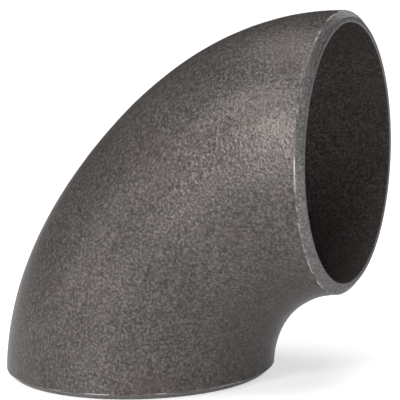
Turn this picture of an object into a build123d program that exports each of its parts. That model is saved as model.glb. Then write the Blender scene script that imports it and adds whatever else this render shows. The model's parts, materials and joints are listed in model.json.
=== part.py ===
from build123d import *
import os
from math import cos, radians, sin

# A short-radius butt weld elbow in steel. It stands on its lower weld end: the origin is the centre
# of that end face, +Z goes up through it, and the upper weld end opens towards +X.

# driving sizes, in millimetres and degrees
outer_diameter = 76.1
wall = 3.2
bend_radius = 63.5  # bend centre to centreline, which is also centre to end on a quarter bend
bend_angle = 90
root_face = 1.2  # flat land left at the bore edge of each weld end
bevel_angle = 40  # slope of the weld bevel, from the plane of the end face
back_flat = 4.3  # how far forming draws in the back of the bend, halfway round
back_lean = 1.35  # how far that drawing-in is shifted towards the lower end
section_count = 7  # pipe sections that carry the form round the bend

outer_radius = outer_diameter / 2
bore_radius = outer_radius - wall


# the plane of the pipe section at an angle round the bend, with its Y direction to the bend's back
def section_plane(angle):
    turn = radians(angle)
    centre = (bend_radius * (1 - cos(turn)), 0, bend_radius * sin(turn))
    return Plane(origin=centre, x_dir=(0, 1, 0), z_dir=(sin(turn), 0, cos(turn)))


# how far the back is drawn in at an angle round the bend: nothing at either weld end
def back_draw(angle):
    share = radians(180 * angle / bend_angle)
    return back_flat * sin(share) ** 2 + back_lean * sin(share) * cos(share)


with BuildPart() as elbow:
    # the ring of pipe wall at each step, round at the weld ends and slightly oval between them
    for step in range(section_count):
        angle = bend_angle * step / (section_count - 1)
        draw = back_draw(angle)
        with BuildSketch(section_plane(angle)):
            with Locations((0, -draw / 2)):
                Ellipse(outer_radius, outer_radius - draw / 2)
                Ellipse(bore_radius, bore_radius - draw / 2, mode=Mode.SUBTRACT)
    loft()

    # a weld bevel round the outside of the lower end and of the upper end, down to the root face
    for end in (0, -1):
        end_face = elbow.faces().filter_by(GeomType.PLANE).sort_by(Axis.Z)[end]
        outer_rim = end_face.edges().sort_by(SortBy.LENGTH)[-1]
        chamfer(outer_rim, length=wall - root_face, angle=bevel_angle, reference=end_face)

elbow.part.label = "elbow"

os.makedirs("parts", exist_ok=True)
export_step(elbow.part, "parts/elbow.step")
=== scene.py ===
import json
from math import asin, atan2, cos, exp, hypot, pi, radians, sin, tan
import random
import bmesh
import bpy
from mathutils import Matrix, Vector, noise

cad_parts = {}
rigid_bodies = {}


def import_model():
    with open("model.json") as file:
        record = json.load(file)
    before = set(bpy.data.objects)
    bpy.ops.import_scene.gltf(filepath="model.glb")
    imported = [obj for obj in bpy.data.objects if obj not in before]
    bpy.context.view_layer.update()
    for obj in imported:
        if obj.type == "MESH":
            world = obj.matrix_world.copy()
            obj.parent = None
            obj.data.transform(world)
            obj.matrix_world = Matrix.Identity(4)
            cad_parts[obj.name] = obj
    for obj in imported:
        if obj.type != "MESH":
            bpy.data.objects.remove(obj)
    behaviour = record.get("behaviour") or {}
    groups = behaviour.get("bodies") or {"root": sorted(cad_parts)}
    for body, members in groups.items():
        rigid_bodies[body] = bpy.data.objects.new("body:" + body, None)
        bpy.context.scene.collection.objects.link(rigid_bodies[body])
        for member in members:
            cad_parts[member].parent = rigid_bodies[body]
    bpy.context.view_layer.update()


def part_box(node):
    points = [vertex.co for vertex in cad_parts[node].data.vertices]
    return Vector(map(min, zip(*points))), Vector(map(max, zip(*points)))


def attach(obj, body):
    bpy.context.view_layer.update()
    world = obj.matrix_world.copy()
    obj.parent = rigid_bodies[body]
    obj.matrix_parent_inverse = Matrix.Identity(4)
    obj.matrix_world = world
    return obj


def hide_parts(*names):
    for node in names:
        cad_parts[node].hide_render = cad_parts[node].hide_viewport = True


# a bare, shot-blasted butt weld elbow that stands on its lower weld end, in metres
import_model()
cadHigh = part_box("elbow")[1]
bendRadius = cadHigh.x  # the upper weld end lies one bend radius from the axis of the lower end
outerRadius = cadHigh.y

body = {
    "wall": 0.0032,
    "rootFace": 0.0012,  # flat land at the bore
    "bevelAngle": 40,  # degrees from the plane of the end face
    "backFlat": 0.0043,  # how far the back of the bend is drawn in
    "backLean": 0.00135,  # drawn in by more near the lower end, and by less near the upper one
    "roundSteps": 360,
    "outsideSteps": 120,
    "boreSteps": 60,
    "bevelRows": 4,
    "edgeRow": 0.6,  # steps from each end to the row of points beside it
    "edgeRound": 0.00018,
    "mergeGap": 0.00001,
}
bevelWidth = body["wall"] - body["rootFace"]
bevelDepth = bevelWidth * tan(radians(body["bevelAngle"]))
rootRadius = outerRadius - bevelWidth
boreRadius = outerRadius - body["wall"]
sideways = Vector((0, 1, 0))
weldEnds = (
    {"centre": Vector((0, 0, 0)), "out": Vector((0, 0, -1))},
    {"centre": Vector((bendRadius, 0, bendRadius)), "out": Vector((1, 0, 0))},
)
outsideIndex, bevelIndex, boreIndex = 0, 1, 2  # material slots


# how far the back is drawn in at an angle round the bend
def backDraw(turn):
    return body["backFlat"] * sin(2 * turn) ** 2 + body["backLean"] * sin(2 * turn) * cos(2 * turn)


# takes a point of a plain round bend to its place on the formed pipe, endDepth short of each end
def formedPoint(point, radius, endDepth, steps):
    reach = hypot(bendRadius - point.x, point.z)
    row = round(atan2(point.z, bendRadius - point.x) / (pi / 2) * steps)
    if row in (1, steps - 1):  # the rows beside the ends sit close to them and keep the edges crisp
        row = body["edgeRow"] if row == 1 else steps - body["edgeRow"]
    share = row / steps
    rise = reach - bendRadius
    for _ in range(4):  # reach and turn depend on each other, and settle in four rounds
        endTurn = asin(endDepth / reach)
        turn = endTurn + share * (pi / 2 - 2 * endTurn)
        draw = backDraw(turn)
        reach = bendRadius - draw / 2 + rise * (1 - draw / (2 * radius))
    return Vector((bendRadius - reach * cos(turn), point.y, reach * sin(turn)))


# sweeps a circle round the bend and gives the edges of its two end loops
def sweepPipe(mesh, radius, steps, endDepth, materialIndex):
    before = len(mesh.verts)
    circle = bmesh.ops.create_circle(mesh, cap_ends=False, segments=body["roundSteps"], radius=radius)
    firstEdges = [edge for edge in mesh.edges if edge.is_wire]
    spun = bmesh.ops.spin(
        mesh, geom=circle["verts"] + firstEdges, cent=(bendRadius, 0, 0), axis=sideways,
        dvec=(0, 0, 0), angle=radians(90), steps=steps, use_merge=False, use_duplicate=False,
    )
    lastEdges = [item for item in spun["geom_last"] if isinstance(item, bmesh.types.BMEdge)]
    mesh.verts.ensure_lookup_table()
    for vert in mesh.verts[before:]:
        vert.co = formedPoint(vert.co, radius, endDepth, steps)
        for face in vert.link_faces:
            face.material_index = materialIndex
    return firstEdges, lastEdges


# the point of an end face at one of the even steps round it, the nearest to a given point
def facePoint(weldEnd, point, radius):
    across = sideways.cross(weldEnd["out"])
    step = 2 * pi / body["roundSteps"]
    angle = round(atan2((point - weldEnd["centre"]).dot(across), point.y) / step) * step
    return weldEnd["centre"] + (sideways * cos(angle) + across * sin(angle)) * radius


# carries the outside's end loop down the weld bevel, and then over the root face to the bore
def addWeldEnd(mesh, loopEdges, weldEnd):
    edges = loopEdges
    rows = body["bevelRows"]
    targets = {}
    for edge in edges:
        for vert in edge.verts:
            targets[vert] = (vert.co.copy(), facePoint(weldEnd, vert.co, rootRadius))
    for row in range(1, rows + 2):
        newGeom = bmesh.ops.extrude_edge_only(mesh, edges=edges)["geom"]
        newTargets = {}
        for vert in (item for item in newGeom if isinstance(item, bmesh.types.BMVert)):
            neighbours = (edge.other_vert(vert) for edge in vert.link_edges)
            top, root = targets[next(neighbour for neighbour in neighbours if neighbour in targets)]
            vert.co = top.lerp(root, row / rows) if row <= rows else facePoint(weldEnd, root, boreRadius)
            newTargets[vert] = (top, root)
        targets = newTargets
        for face in (item for item in newGeom if isinstance(item, bmesh.types.BMFace)):
            face.material_index = bevelIndex
        edges = [item for item in newGeom if isinstance(item, bmesh.types.BMEdge)
                 and all(vert in targets for vert in item.verts)]


# the edges of a loop round a weld end, at a depth behind its face and a distance from its axis
def loopAt(mesh, weldEnd, depth, radius):
    depthSlack = 0.00005
    radiusSlack = 0.0004  # the forming waves bring the outer loop in by less than this

    def onLoop(vert):
        flat = vert.co - weldEnd["centre"]
        away = flat.dot(weldEnd["out"])
        offAxis = (flat - weldEnd["out"] * away).length
        return abs(away + depth) < depthSlack and abs(offAxis - radius) < radiusSlack

    return [edge for edge in mesh.edges if all(onLoop(vert) for vert in edge.verts)]


def roundRims(mesh):
    rims = []
    for weldEnd in weldEnds:
        for depth, radius in ((bevelDepth, outerRadius), (0, rootRadius), (0, boreRadius)):
            rims += loopAt(mesh, weldEnd, depth, radius)
    bmesh.ops.bevel(
        mesh, geom=rims, offset=body["edgeRound"], offset_type="OFFSET", segments=2,
        profile=0.5, affect="EDGES", material=-1, clamp_overlap=True,
    )


waves = {  # soft unevenness left by forming and blasting, inwards only
    "depth": 0.00012,
    "scale": 90,
    "finer": 2.7,  # a second wave is this much finer
    "finerShare": 0.5,  # and this strong beside the first
    "middle": 0.55,
    "swing": 0.5,
}


def addWaves(mesh):
    pivot = Vector((bendRadius, 0, 0))
    for vert in mesh.verts:
        onAxis = pivot + (Vector((vert.co.x, 0, vert.co.z)) - pivot).normalized() * bendRadius
        broad = noise.noise(vert.co * waves["scale"])
        finer = noise.noise(vert.co * waves["scale"] * waves["finer"])
        lift = waves["middle"] + waves["swing"] * (broad + waves["finerShare"] * finer)
        vert.co += (onAxis - vert.co).normalized() * waves["depth"] * max(0, lift)


nicks = {  # small dents in the outer edge of each weld bevel
    "count": 14,
    "seed": 7,
    "depth": 0.0002,
    "depthShares": (0.3, 1),
    "width": 0.0009,
    "widthShares": (0.6, 1.5),
    "fadeWidths": 3,  # a dent ends this many widths from its middle
    "band": 0.003,  # only points this near the edge's plane move
}


def addNicks(mesh):
    chance = random.Random(nicks["seed"])
    for weldEnd in weldEnds:
        out = weldEnd["out"]
        across = sideways.cross(out)
        edgeCentre = weldEnd["centre"] - out * bevelDepth
        nearEdge = [vert for vert in mesh.verts if abs((vert.co - edgeCentre).dot(out)) < nicks["band"]]
        for _ in range(nicks["count"]):
            angle = chance.uniform(0, 2 * pi)
            depth = nicks["depth"] * chance.uniform(*nicks["depthShares"])
            width = nicks["width"] * chance.uniform(*nicks["widthShares"])
            inward = -(sideways * cos(angle) + across * sin(angle))
            place = edgeCentre - inward * outerRadius
            for vert in nearEdge:
                away = (vert.co - place).length
                if away < nicks["fadeWidths"] * width:
                    vert.co += inward * depth * exp(-(away / width) ** 2)


# gives a finished mesh an object at the origin
def makeObject(mesh, name):
    data = bpy.data.meshes.new(name)
    mesh.to_mesh(data)
    mesh.free()
    made = bpy.data.objects.new(name, data)
    bpy.context.scene.collection.objects.link(made)
    return made


def makeElbowBody():
    mesh = bmesh.new()
    outsideLoops = sweepPipe(mesh, outerRadius, body["outsideSteps"], bevelDepth, outsideIndex)
    addWaves(mesh)
    sweepPipe(mesh, boreRadius, body["boreSteps"], 0, boreIndex)
    for outsideLoop, weldEnd in zip(outsideLoops, weldEnds):
        addWeldEnd(mesh, outsideLoop, weldEnd)
    bmesh.ops.remove_doubles(mesh, verts=mesh.verts, dist=body["mergeGap"])
    bmesh.ops.recalc_face_normals(mesh, faces=mesh.faces)
    roundRims(mesh)
    bmesh.ops.recalc_face_normals(mesh, faces=mesh.faces)
    addNicks(mesh)
    elbowBody = makeObject(mesh, "elbowBody")
    elbowBody.data.shade_smooth()
    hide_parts("elbow")
    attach(elbowBody, "root")
    return elbowBody


elbowBody = makeElbowBody()
print("elbow body:", len(elbowBody.data.polygons), "faces")


# node helpers

# links a socket's source, or writes its fixed value
def setSocket(tree, socket, value):
    if isinstance(value, bpy.types.NodeSocket):
        tree.links.new(value, socket)
    else:
        socket.default_value = value


def addNode(tree, kind, inputs, **settings):
    node = tree.nodes.new(kind)
    for name, value in settings.items():
        setattr(node, name, value)
    for name, value in inputs.items():
        setSocket(tree, node.inputs[name], value)
    return node


def addMath(tree, operation, *values, clamp=False):
    node = tree.nodes.new("ShaderNodeMath")
    node.operation = operation
    node.use_clamp = clamp
    for index, value in enumerate(values):
        setSocket(tree, node.inputs[index], value)
    return node.outputs[0]


def addRange(tree, value, fromRange, toRange=(0.0, 1.0), smooth=False):
    limits = {"From Min": fromRange[0], "From Max": fromRange[1], "To Min": toRange[0], "To Max": toRange[1]}
    kind = "SMOOTHSTEP" if smooth else "LINEAR"
    node = addNode(tree, "ShaderNodeMapRange", {"Value": value, **limits}, interpolation_type=kind)
    return node.outputs["Result"]


def addColourMix(tree, factor, first, second, blend="MIX"):
    node = tree.nodes.new("ShaderNodeMix")
    node.data_type = "RGBA"
    node.blend_type = blend
    factorInput, firstInput, secondInput = (node.inputs[index] for index in (0, 6, 7))
    for socket, value in ((factorInput, factor), (firstInput, first), (secondInput, second)):
        setSocket(tree, socket, (*value, 1) if isinstance(value, tuple) else value)
    return node.outputs[2]


# starts a shader group with plain number inputs, a Vector input and outputs of the given names
def newGroup(name, numbers, outputs):
    tree = bpy.data.node_groups.new(name, "ShaderNodeTree")
    tree.interface.new_socket(name="Vector", in_out="INPUT", socket_type="NodeSocketVector")
    for title, value in numbers.items():
        socket = tree.interface.new_socket(name=title, in_out="INPUT", socket_type="NodeSocketFloat")
        socket.default_value = value
    for title in outputs:
        tree.interface.new_socket(name=title, in_out="OUTPUT", socket_type="NodeSocketFloat")
    return tree, tree.nodes.new("NodeGroupInput").outputs, tree.nodes.new("NodeGroupOutput").inputs


def placeGroup(tree, group, inputs):
    node = tree.nodes.new("ShaderNodeGroup")
    node.node_tree = group
    for name, value in inputs.items():
        setSocket(tree, node.inputs[name], value)
    return node.outputs


grain = {
    "softScale": 0.35,  # the mottle's scale as a share of the grain's
    "fineHeight": 0.6,
    "pitHeight": 0.5,
    "speckRange": (0.52, 0.72),
    "fineTone": 0.65,
    "softTone": 0.26,
    "speckTone": 0.16,
}


# fine blasted grain: light rounded specks on a darker ground, over a softer mottle
def makeGrainGroup():
    tree, given, out = newGroup("blastGrain", {"Scale": 2000.0}, ["Height", "Tone"])
    place, scale = given["Vector"], given["Scale"]
    fineInputs = {"Vector": place, "Scale": scale, "Detail": 1.0, "Roughness": 0.5}
    fine = addNode(tree, "ShaderNodeTexNoise", fineInputs).outputs["Fac"]
    softScale = addMath(tree, "MULTIPLY", scale, grain["softScale"])
    softInputs = {"Vector": place, "Scale": softScale, "Detail": 2.0, "Roughness": 0.55}
    soft = addNode(tree, "ShaderNodeTexNoise", softInputs).outputs["Fac"]
    pitNode = addNode(tree, "ShaderNodeTexVoronoi", {"Vector": place, "Scale": scale}, feature="F1")
    fineHeight = addMath(tree, "MULTIPLY", fine, grain["fineHeight"])
    pitHeight = addMath(tree, "MULTIPLY", pitNode.outputs["Distance"], grain["pitHeight"])
    specks = addRange(tree, fine, grain["speckRange"], smooth=True)
    fineTone = addMath(tree, "MULTIPLY", fine, grain["fineTone"])
    softTone = addMath(tree, "MULTIPLY", soft, grain["softTone"])
    speckTone = addMath(tree, "MULTIPLY", specks, grain["speckTone"])
    tone = addMath(tree, "ADD", addMath(tree, "ADD", fineTone, softTone), speckTone)
    tree.links.new(addMath(tree, "ADD", fineHeight, pitHeight), out["Height"])
    tree.links.new(tone, out["Tone"])
    return tree


# masks that are 1 on the outer edge of either weld bevel and on either bore edge, and fade over Width; they
# place a bright line that is partly worn metal and partly painted edge highlight
def makeEdgeGroup():
    tree, given, out = newGroup("rimEdges", {"Width": 0.0006}, ["Outer", "Bore"])
    place = addNode(tree, "ShaderNodeSeparateXYZ", {"Vector": given["Vector"]})
    x, y, z = (place.outputs[axis] for axis in "XYZ")

    def less(first, second):
        return addMath(tree, "SUBTRACT", first, second)

    def lengthOf(first, second):
        firstSquare = addMath(tree, "MULTIPLY", first, first)
        secondSquare = addMath(tree, "MULTIPLY", second, second)
        return addMath(tree, "SQRT", addMath(tree, "ADD", firstSquare, secondSquare))

    lowEnd = (lengthOf(x, y), z)  # distance from the end's axis, and depth behind its face
    highEnd = (lengthOf(less(z, bendRadius), y), less(bendRadius, x))
    for title, radius, depth in (("Outer", outerRadius, bevelDepth), ("Bore", boreRadius, 0)):
        low, high = (lengthOf(less(offAxis, radius), less(behind, depth))
                     for offAxis, behind in (lowEnd, highEnd))
        nearest = addMath(tree, "MINIMUM", low, high)
        mask = addRange(tree, nearest, (0.0, given["Width"]), (1.0, 0.0), smooth=True)
        tree.links.new(mask, out[title])
    return tree


patch = {"detail": 5.0, "roughness": 0.62, "edge": 0.16}


# soft patches with ragged edges, for rust bloom and for breaking up the bright edge line of worn metal and
# painted highlight
def makePatchGroup():
    tree, given, out = newGroup("patches", {"Scale": 60.0, "Amount": 0.5, "Seed": 0.0}, ["Mask"])
    broadInputs = {
        "Vector": given["Vector"], "W": given["Seed"], "Scale": given["Scale"],
        "Detail": patch["detail"], "Roughness": patch["roughness"],
    }
    broad = addNode(tree, "ShaderNodeTexNoise", broadInputs, noise_dimensions="4D")
    start = addMath(tree, "SUBTRACT", 1.0, given["Amount"])
    full = addMath(tree, "ADD", start, patch["edge"])
    tree.links.new(addRange(tree, broad.outputs["Fac"], (start, full), smooth=True), out["Mask"])
    return tree


grainGroup = makeGrainGroup()
edgeGroup = makeEdgeGroup()
patchGroup = makePatchGroup()
print("shader groups:", len(bpy.data.node_groups))


blastedSteel = {
    "colour": (0.088, 0.0785, 0.0745),
    "metallic": 0.4,
    "specular": 0.4,
    "grazingTint": (0.15, 0.15, 0.15),  # the blasted grain is too rough to mirror at a grazing angle
    "roughness": 0.34,
    "roughnessSwing": 0.06,
    "grainScale": 1450.0,
    "grainTone": 0.48,
    "cloudScale": 45.0,
    "cloudTone": 0.1,
    "bumpDepth": 0.00012,
    "rustScale": 70.0,
    "rustSeed": 2.0,
    "rustAmount": 0.45,
    "rustStrength": 0.45,
    "rustColour": (0.085, 0.062, 0.056),
    # the bevels' outer edges and the bore edges get a bright line, partly worn metal and partly painted
    # highlight of the light the rounded edges catch
    "wearAndHighlightWidth": 0.00036,
    "wearAndHighlightScale": 150.0,  # the bright line on the bevels' outer edges is broken by patches
    "wearAndHighlightSeed": 5.0,
    "wearAndHighlightAmount": 0.55,
    "outerWearAndHighlight": 1.0,
    "boreWearAndHighlight": 0.0,
    "wearAndHighlightColour": (0.5, 0.49, 0.48),
}
groundSteel = dict(
    blastedSteel, colour=(0.165, 0.157, 0.155), roughness=0.42, grainTone=0.45, bumpDepth=0.00005,
    grainScale=1700.0, rustAmount=0.34, boreWearAndHighlight=0.45,
)
# the bore's colour is darker than the outside's: painted shade for the dim inside of the pipe
shadedBoreSteel = dict(
    blastedSteel, colour=(0.075, 0.065, 0.062), metallic=0.3, roughness=0.6, grainTone=0.5, bumpDepth=0.0001,
    outerWearAndHighlight=0.0, boreWearAndHighlight=0.3,
)
noiseRange = (0.3, 0.7)  # nearly all of a noise's values lie in it


def around(middle, swing):
    return middle - swing, middle + swing


def makeSteel(name, finish):
    material = bpy.data.materials.new(name)
    material.use_nodes = True
    tree = material.node_tree
    tree.nodes.clear()
    output = tree.nodes.new("ShaderNodeOutputMaterial")
    surface = tree.nodes.new("ShaderNodeBsdfPrincipled")
    tree.links.new(surface.outputs["BSDF"], output.inputs["Surface"])
    place = tree.nodes.new("ShaderNodeTexCoord").outputs["Object"]
    blasted = placeGroup(tree, grainGroup, {"Vector": place, "Scale": finish["grainScale"]})
    grainTone = addRange(tree, blasted["Tone"], noiseRange, around(1, finish["grainTone"]))
    cloudInputs = {"Vector": place, "Scale": finish["cloudScale"], "Detail": 4.0, "Roughness": 0.55}
    clouds = addNode(tree, "ShaderNodeTexNoise", cloudInputs).outputs["Fac"]
    cloudTone = addRange(tree, clouds, noiseRange, around(1, finish["cloudTone"]))
    tone = addMath(tree, "MULTIPLY", grainTone, cloudTone)
    colour = addColourMix(tree, 1.0, finish["colour"], tone, "MULTIPLY")
    rust = placeGroup(tree, patchGroup, {"Vector": place, "Scale": finish["rustScale"],
                                         "Amount": finish["rustAmount"], "Seed": finish["rustSeed"]})
    rustMask = addMath(tree, "MULTIPLY", rust["Mask"], finish["rustStrength"])
    colour = addColourMix(tree, rustMask, colour, finish["rustColour"])
    # the rims' bright line: partly worn metal, partly painted highlight
    rims = placeGroup(tree, edgeGroup, {"Vector": place, "Width": finish["wearAndHighlightWidth"]})
    broken = placeGroup(tree, patchGroup, {"Vector": place, "Scale": finish["wearAndHighlightScale"],
                                           "Amount": finish["wearAndHighlightAmount"], "Seed": finish["wearAndHighlightSeed"]})
    outerLine = addMath(tree, "MULTIPLY", rims["Outer"], broken["Mask"])
    outerWearAndHighlight = addMath(tree, "MULTIPLY", outerLine, finish["outerWearAndHighlight"])
    # the bore edge's lighter line is partly worn metal and partly painted highlight
    boreWearAndHighlight = addMath(tree, "MULTIPLY", rims["Bore"], finish["boreWearAndHighlight"])
    colour = addColourMix(tree, addMath(tree, "MAXIMUM", outerWearAndHighlight, boreWearAndHighlight), colour, finish["wearAndHighlightColour"])
    roughRange = around(finish["roughness"], finish["roughnessSwing"])
    roughness = addRange(tree, blasted["Tone"], noiseRange, roughRange)
    bumpInputs = {"Strength": 1.0, "Distance": finish["bumpDepth"], "Height": blasted["Height"]}
    bump = addNode(tree, "ShaderNodeBump", bumpInputs).outputs["Normal"]
    surface.inputs["Metallic"].default_value = finish["metallic"]
    surface.inputs["Specular IOR Level"].default_value = finish["specular"]
    surface.inputs["Specular Tint"].default_value = (*finish["grazingTint"], 1)
    tree.links.new(colour, surface.inputs["Base Color"])
    tree.links.new(roughness, surface.inputs["Roughness"])
    tree.links.new(bump, surface.inputs["Normal"])
    return material


# in the order of the material slots
for name, finish in (("shotBlastedSteel", blastedSteel), ("groundBevelSteel", groundSteel),
                     ("shadedBoreSteel", shadedBoreSteel)):
    elbowBody.data.materials.append(makeSteel(name, finish))
print("materials:", len(elbowBody.data.materials))


white = (1, 1, 1, 1)
studio = {
    "roomLight": 0.06,
    "overheadPower": 1.9,
    "overheadAngle": 50,  # degrees across, so its shadow is soft
    "floorSize": 8,
    "floorColour": (0.6, 0.6, 0.6, 1),
    "floorGlow": 0.62,  # how white the floor looks in a shadow
    "target": Vector((0.0195, 0, 0.049)),
    "boxDistance": 1.2,
}


# the floor is pale and plain, and shows as white where nothing shades it
def makeFloor():
    mesh = bmesh.new()
    bmesh.ops.create_grid(mesh, x_segments=1, y_segments=1, size=studio["floorSize"])
    floor = makeObject(mesh, "floor")
    material = bpy.data.materials.new("paleFloor")
    material.use_nodes = True
    tree = material.node_tree
    tree.nodes.clear()
    rays = tree.nodes.new("ShaderNodeLightPath").outputs
    cameraOrGlossy = addMath(tree, "ADD", rays["Is Camera Ray"], rays["Is Glossy Ray"])
    seen = addMath(tree, "ADD", cameraOrGlossy, rays["Is Transmission Ray"], clamp=True)
    strength = addMath(tree, "MULTIPLY", seen, studio["floorGlow"])
    lit = addNode(tree, "ShaderNodeBsdfDiffuse", {"Color": studio["floorColour"]})
    glow = addNode(tree, "ShaderNodeEmission", {"Color": white, "Strength": strength})
    both = tree.nodes.new("ShaderNodeAddShader")
    tree.links.new(lit.outputs["BSDF"], both.inputs[0])
    tree.links.new(glow.outputs["Emission"], both.inputs[1])
    output = tree.nodes.new("ShaderNodeOutputMaterial")
    tree.links.new(both.outputs["Shader"], output.inputs["Surface"])
    floor.data.materials.append(material)


# soft boxes, named by where they stand round the elbow
softBoxes = {
    "keyBox": {"azimuth": -17, "elevation": 25, "size": 0.26, "power": 6.7},
    "lowBox": {"azimuth": -10, "elevation": 3, "size": 0.3, "power": 5.2},
    "highBox": {"azimuth": -42, "elevation": 46, "size": 0.4, "power": 4.4},
    "sideBox": {"azimuth": 30, "elevation": 2, "size": 0.3, "power": 5.4},
    "leftBox": {"azimuth": -56, "elevation": 12, "size": 0.4, "power": 1.5},
    "backLeftBox": {"azimuth": -120, "elevation": 60, "size": 0.4, "power": 1.1},
    "backBox": {"azimuth": 172, "elevation": 24, "size": 0.4, "power": 2.1},
}


# the direction from the elbow to a place round it, in degrees, where azimuth 0 is its front
def towards(azimuth, elevation):
    turn, rise = radians(azimuth), radians(elevation)
    return Vector((sin(turn) * cos(rise), -cos(turn) * cos(rise), sin(rise)))


def makeSoftBox(name, box):
    data = bpy.data.lights.new(name, "AREA")
    data.shape = "SQUARE"
    data.size = box["size"]
    data.energy = box["power"]
    lamp = bpy.data.objects.new(name, data)
    direction = towards(box["azimuth"], box["elevation"])
    lamp.location = studio["target"] + direction * studio["boxDistance"]
    lamp.rotation_euler = direction.to_track_quat("Z", "Y").to_euler()
    bpy.context.scene.collection.objects.link(lamp)


def makeOverheadLight():
    data = bpy.data.lights.new("overheadLight", "SUN")
    data.energy = studio["overheadPower"]
    data.angle = radians(studio["overheadAngle"])
    bpy.context.scene.collection.objects.link(bpy.data.objects.new("overheadLight", data))


def makeRoom():
    world = bpy.data.worlds.new("studioRoom")
    bpy.context.scene.world = world
    world.use_nodes = True
    tree = world.node_tree
    tree.nodes.clear()
    room = addNode(tree, "ShaderNodeBackground", {"Color": white, "Strength": studio["roomLight"]})
    output = tree.nodes.new("ShaderNodeOutputWorld")
    tree.links.new(room.outputs["Background"], output.inputs["Surface"])


makeFloor()
for name, box in softBoxes.items():
    makeSoftBox(name, box)
makeOverheadLight()
makeRoom()
print("studio:", len(bpy.data.lights), "lamps")


camera = {  # fitted to the photo
    "azimuth": 23.47,
    "elevation": 8.66,
    "roll": -1.23,
    "distance": 0.5242,
    "target": Vector((0.01955, 0, 0.04905)),
    "lens": 170.25,  # millimetres, as is the sensor's width
    "sensorWidth": 36,
    "clipStart": 0.01,
}


def makeCamera():
    data = bpy.data.cameras.new("photoCamera")
    data.lens = camera["lens"]
    data.sensor_width = camera["sensorWidth"]
    data.clip_start = camera["clipStart"]
    back = towards(camera["azimuth"], camera["elevation"])
    right = Vector((cos(radians(camera["azimuth"])), sin(radians(camera["azimuth"])), 0))
    up = back.cross(right)
    roll = radians(camera["roll"])
    rightRolled = right * cos(roll) + up * sin(roll)
    upRolled = up * cos(roll) - right * sin(roll)
    photoCamera = bpy.data.objects.new("photoCamera", data)
    turn = Matrix((rightRolled, upRolled, back)).transposed().to_4x4()
    photoCamera.matrix_world = Matrix.Translation(camera["target"] + back * camera["distance"]) @ turn
    bpy.context.scene.collection.objects.link(photoCamera)
    bpy.context.scene.camera = photoCamera


makeCamera()
bpy.context.scene.view_settings.view_transform = "Standard"
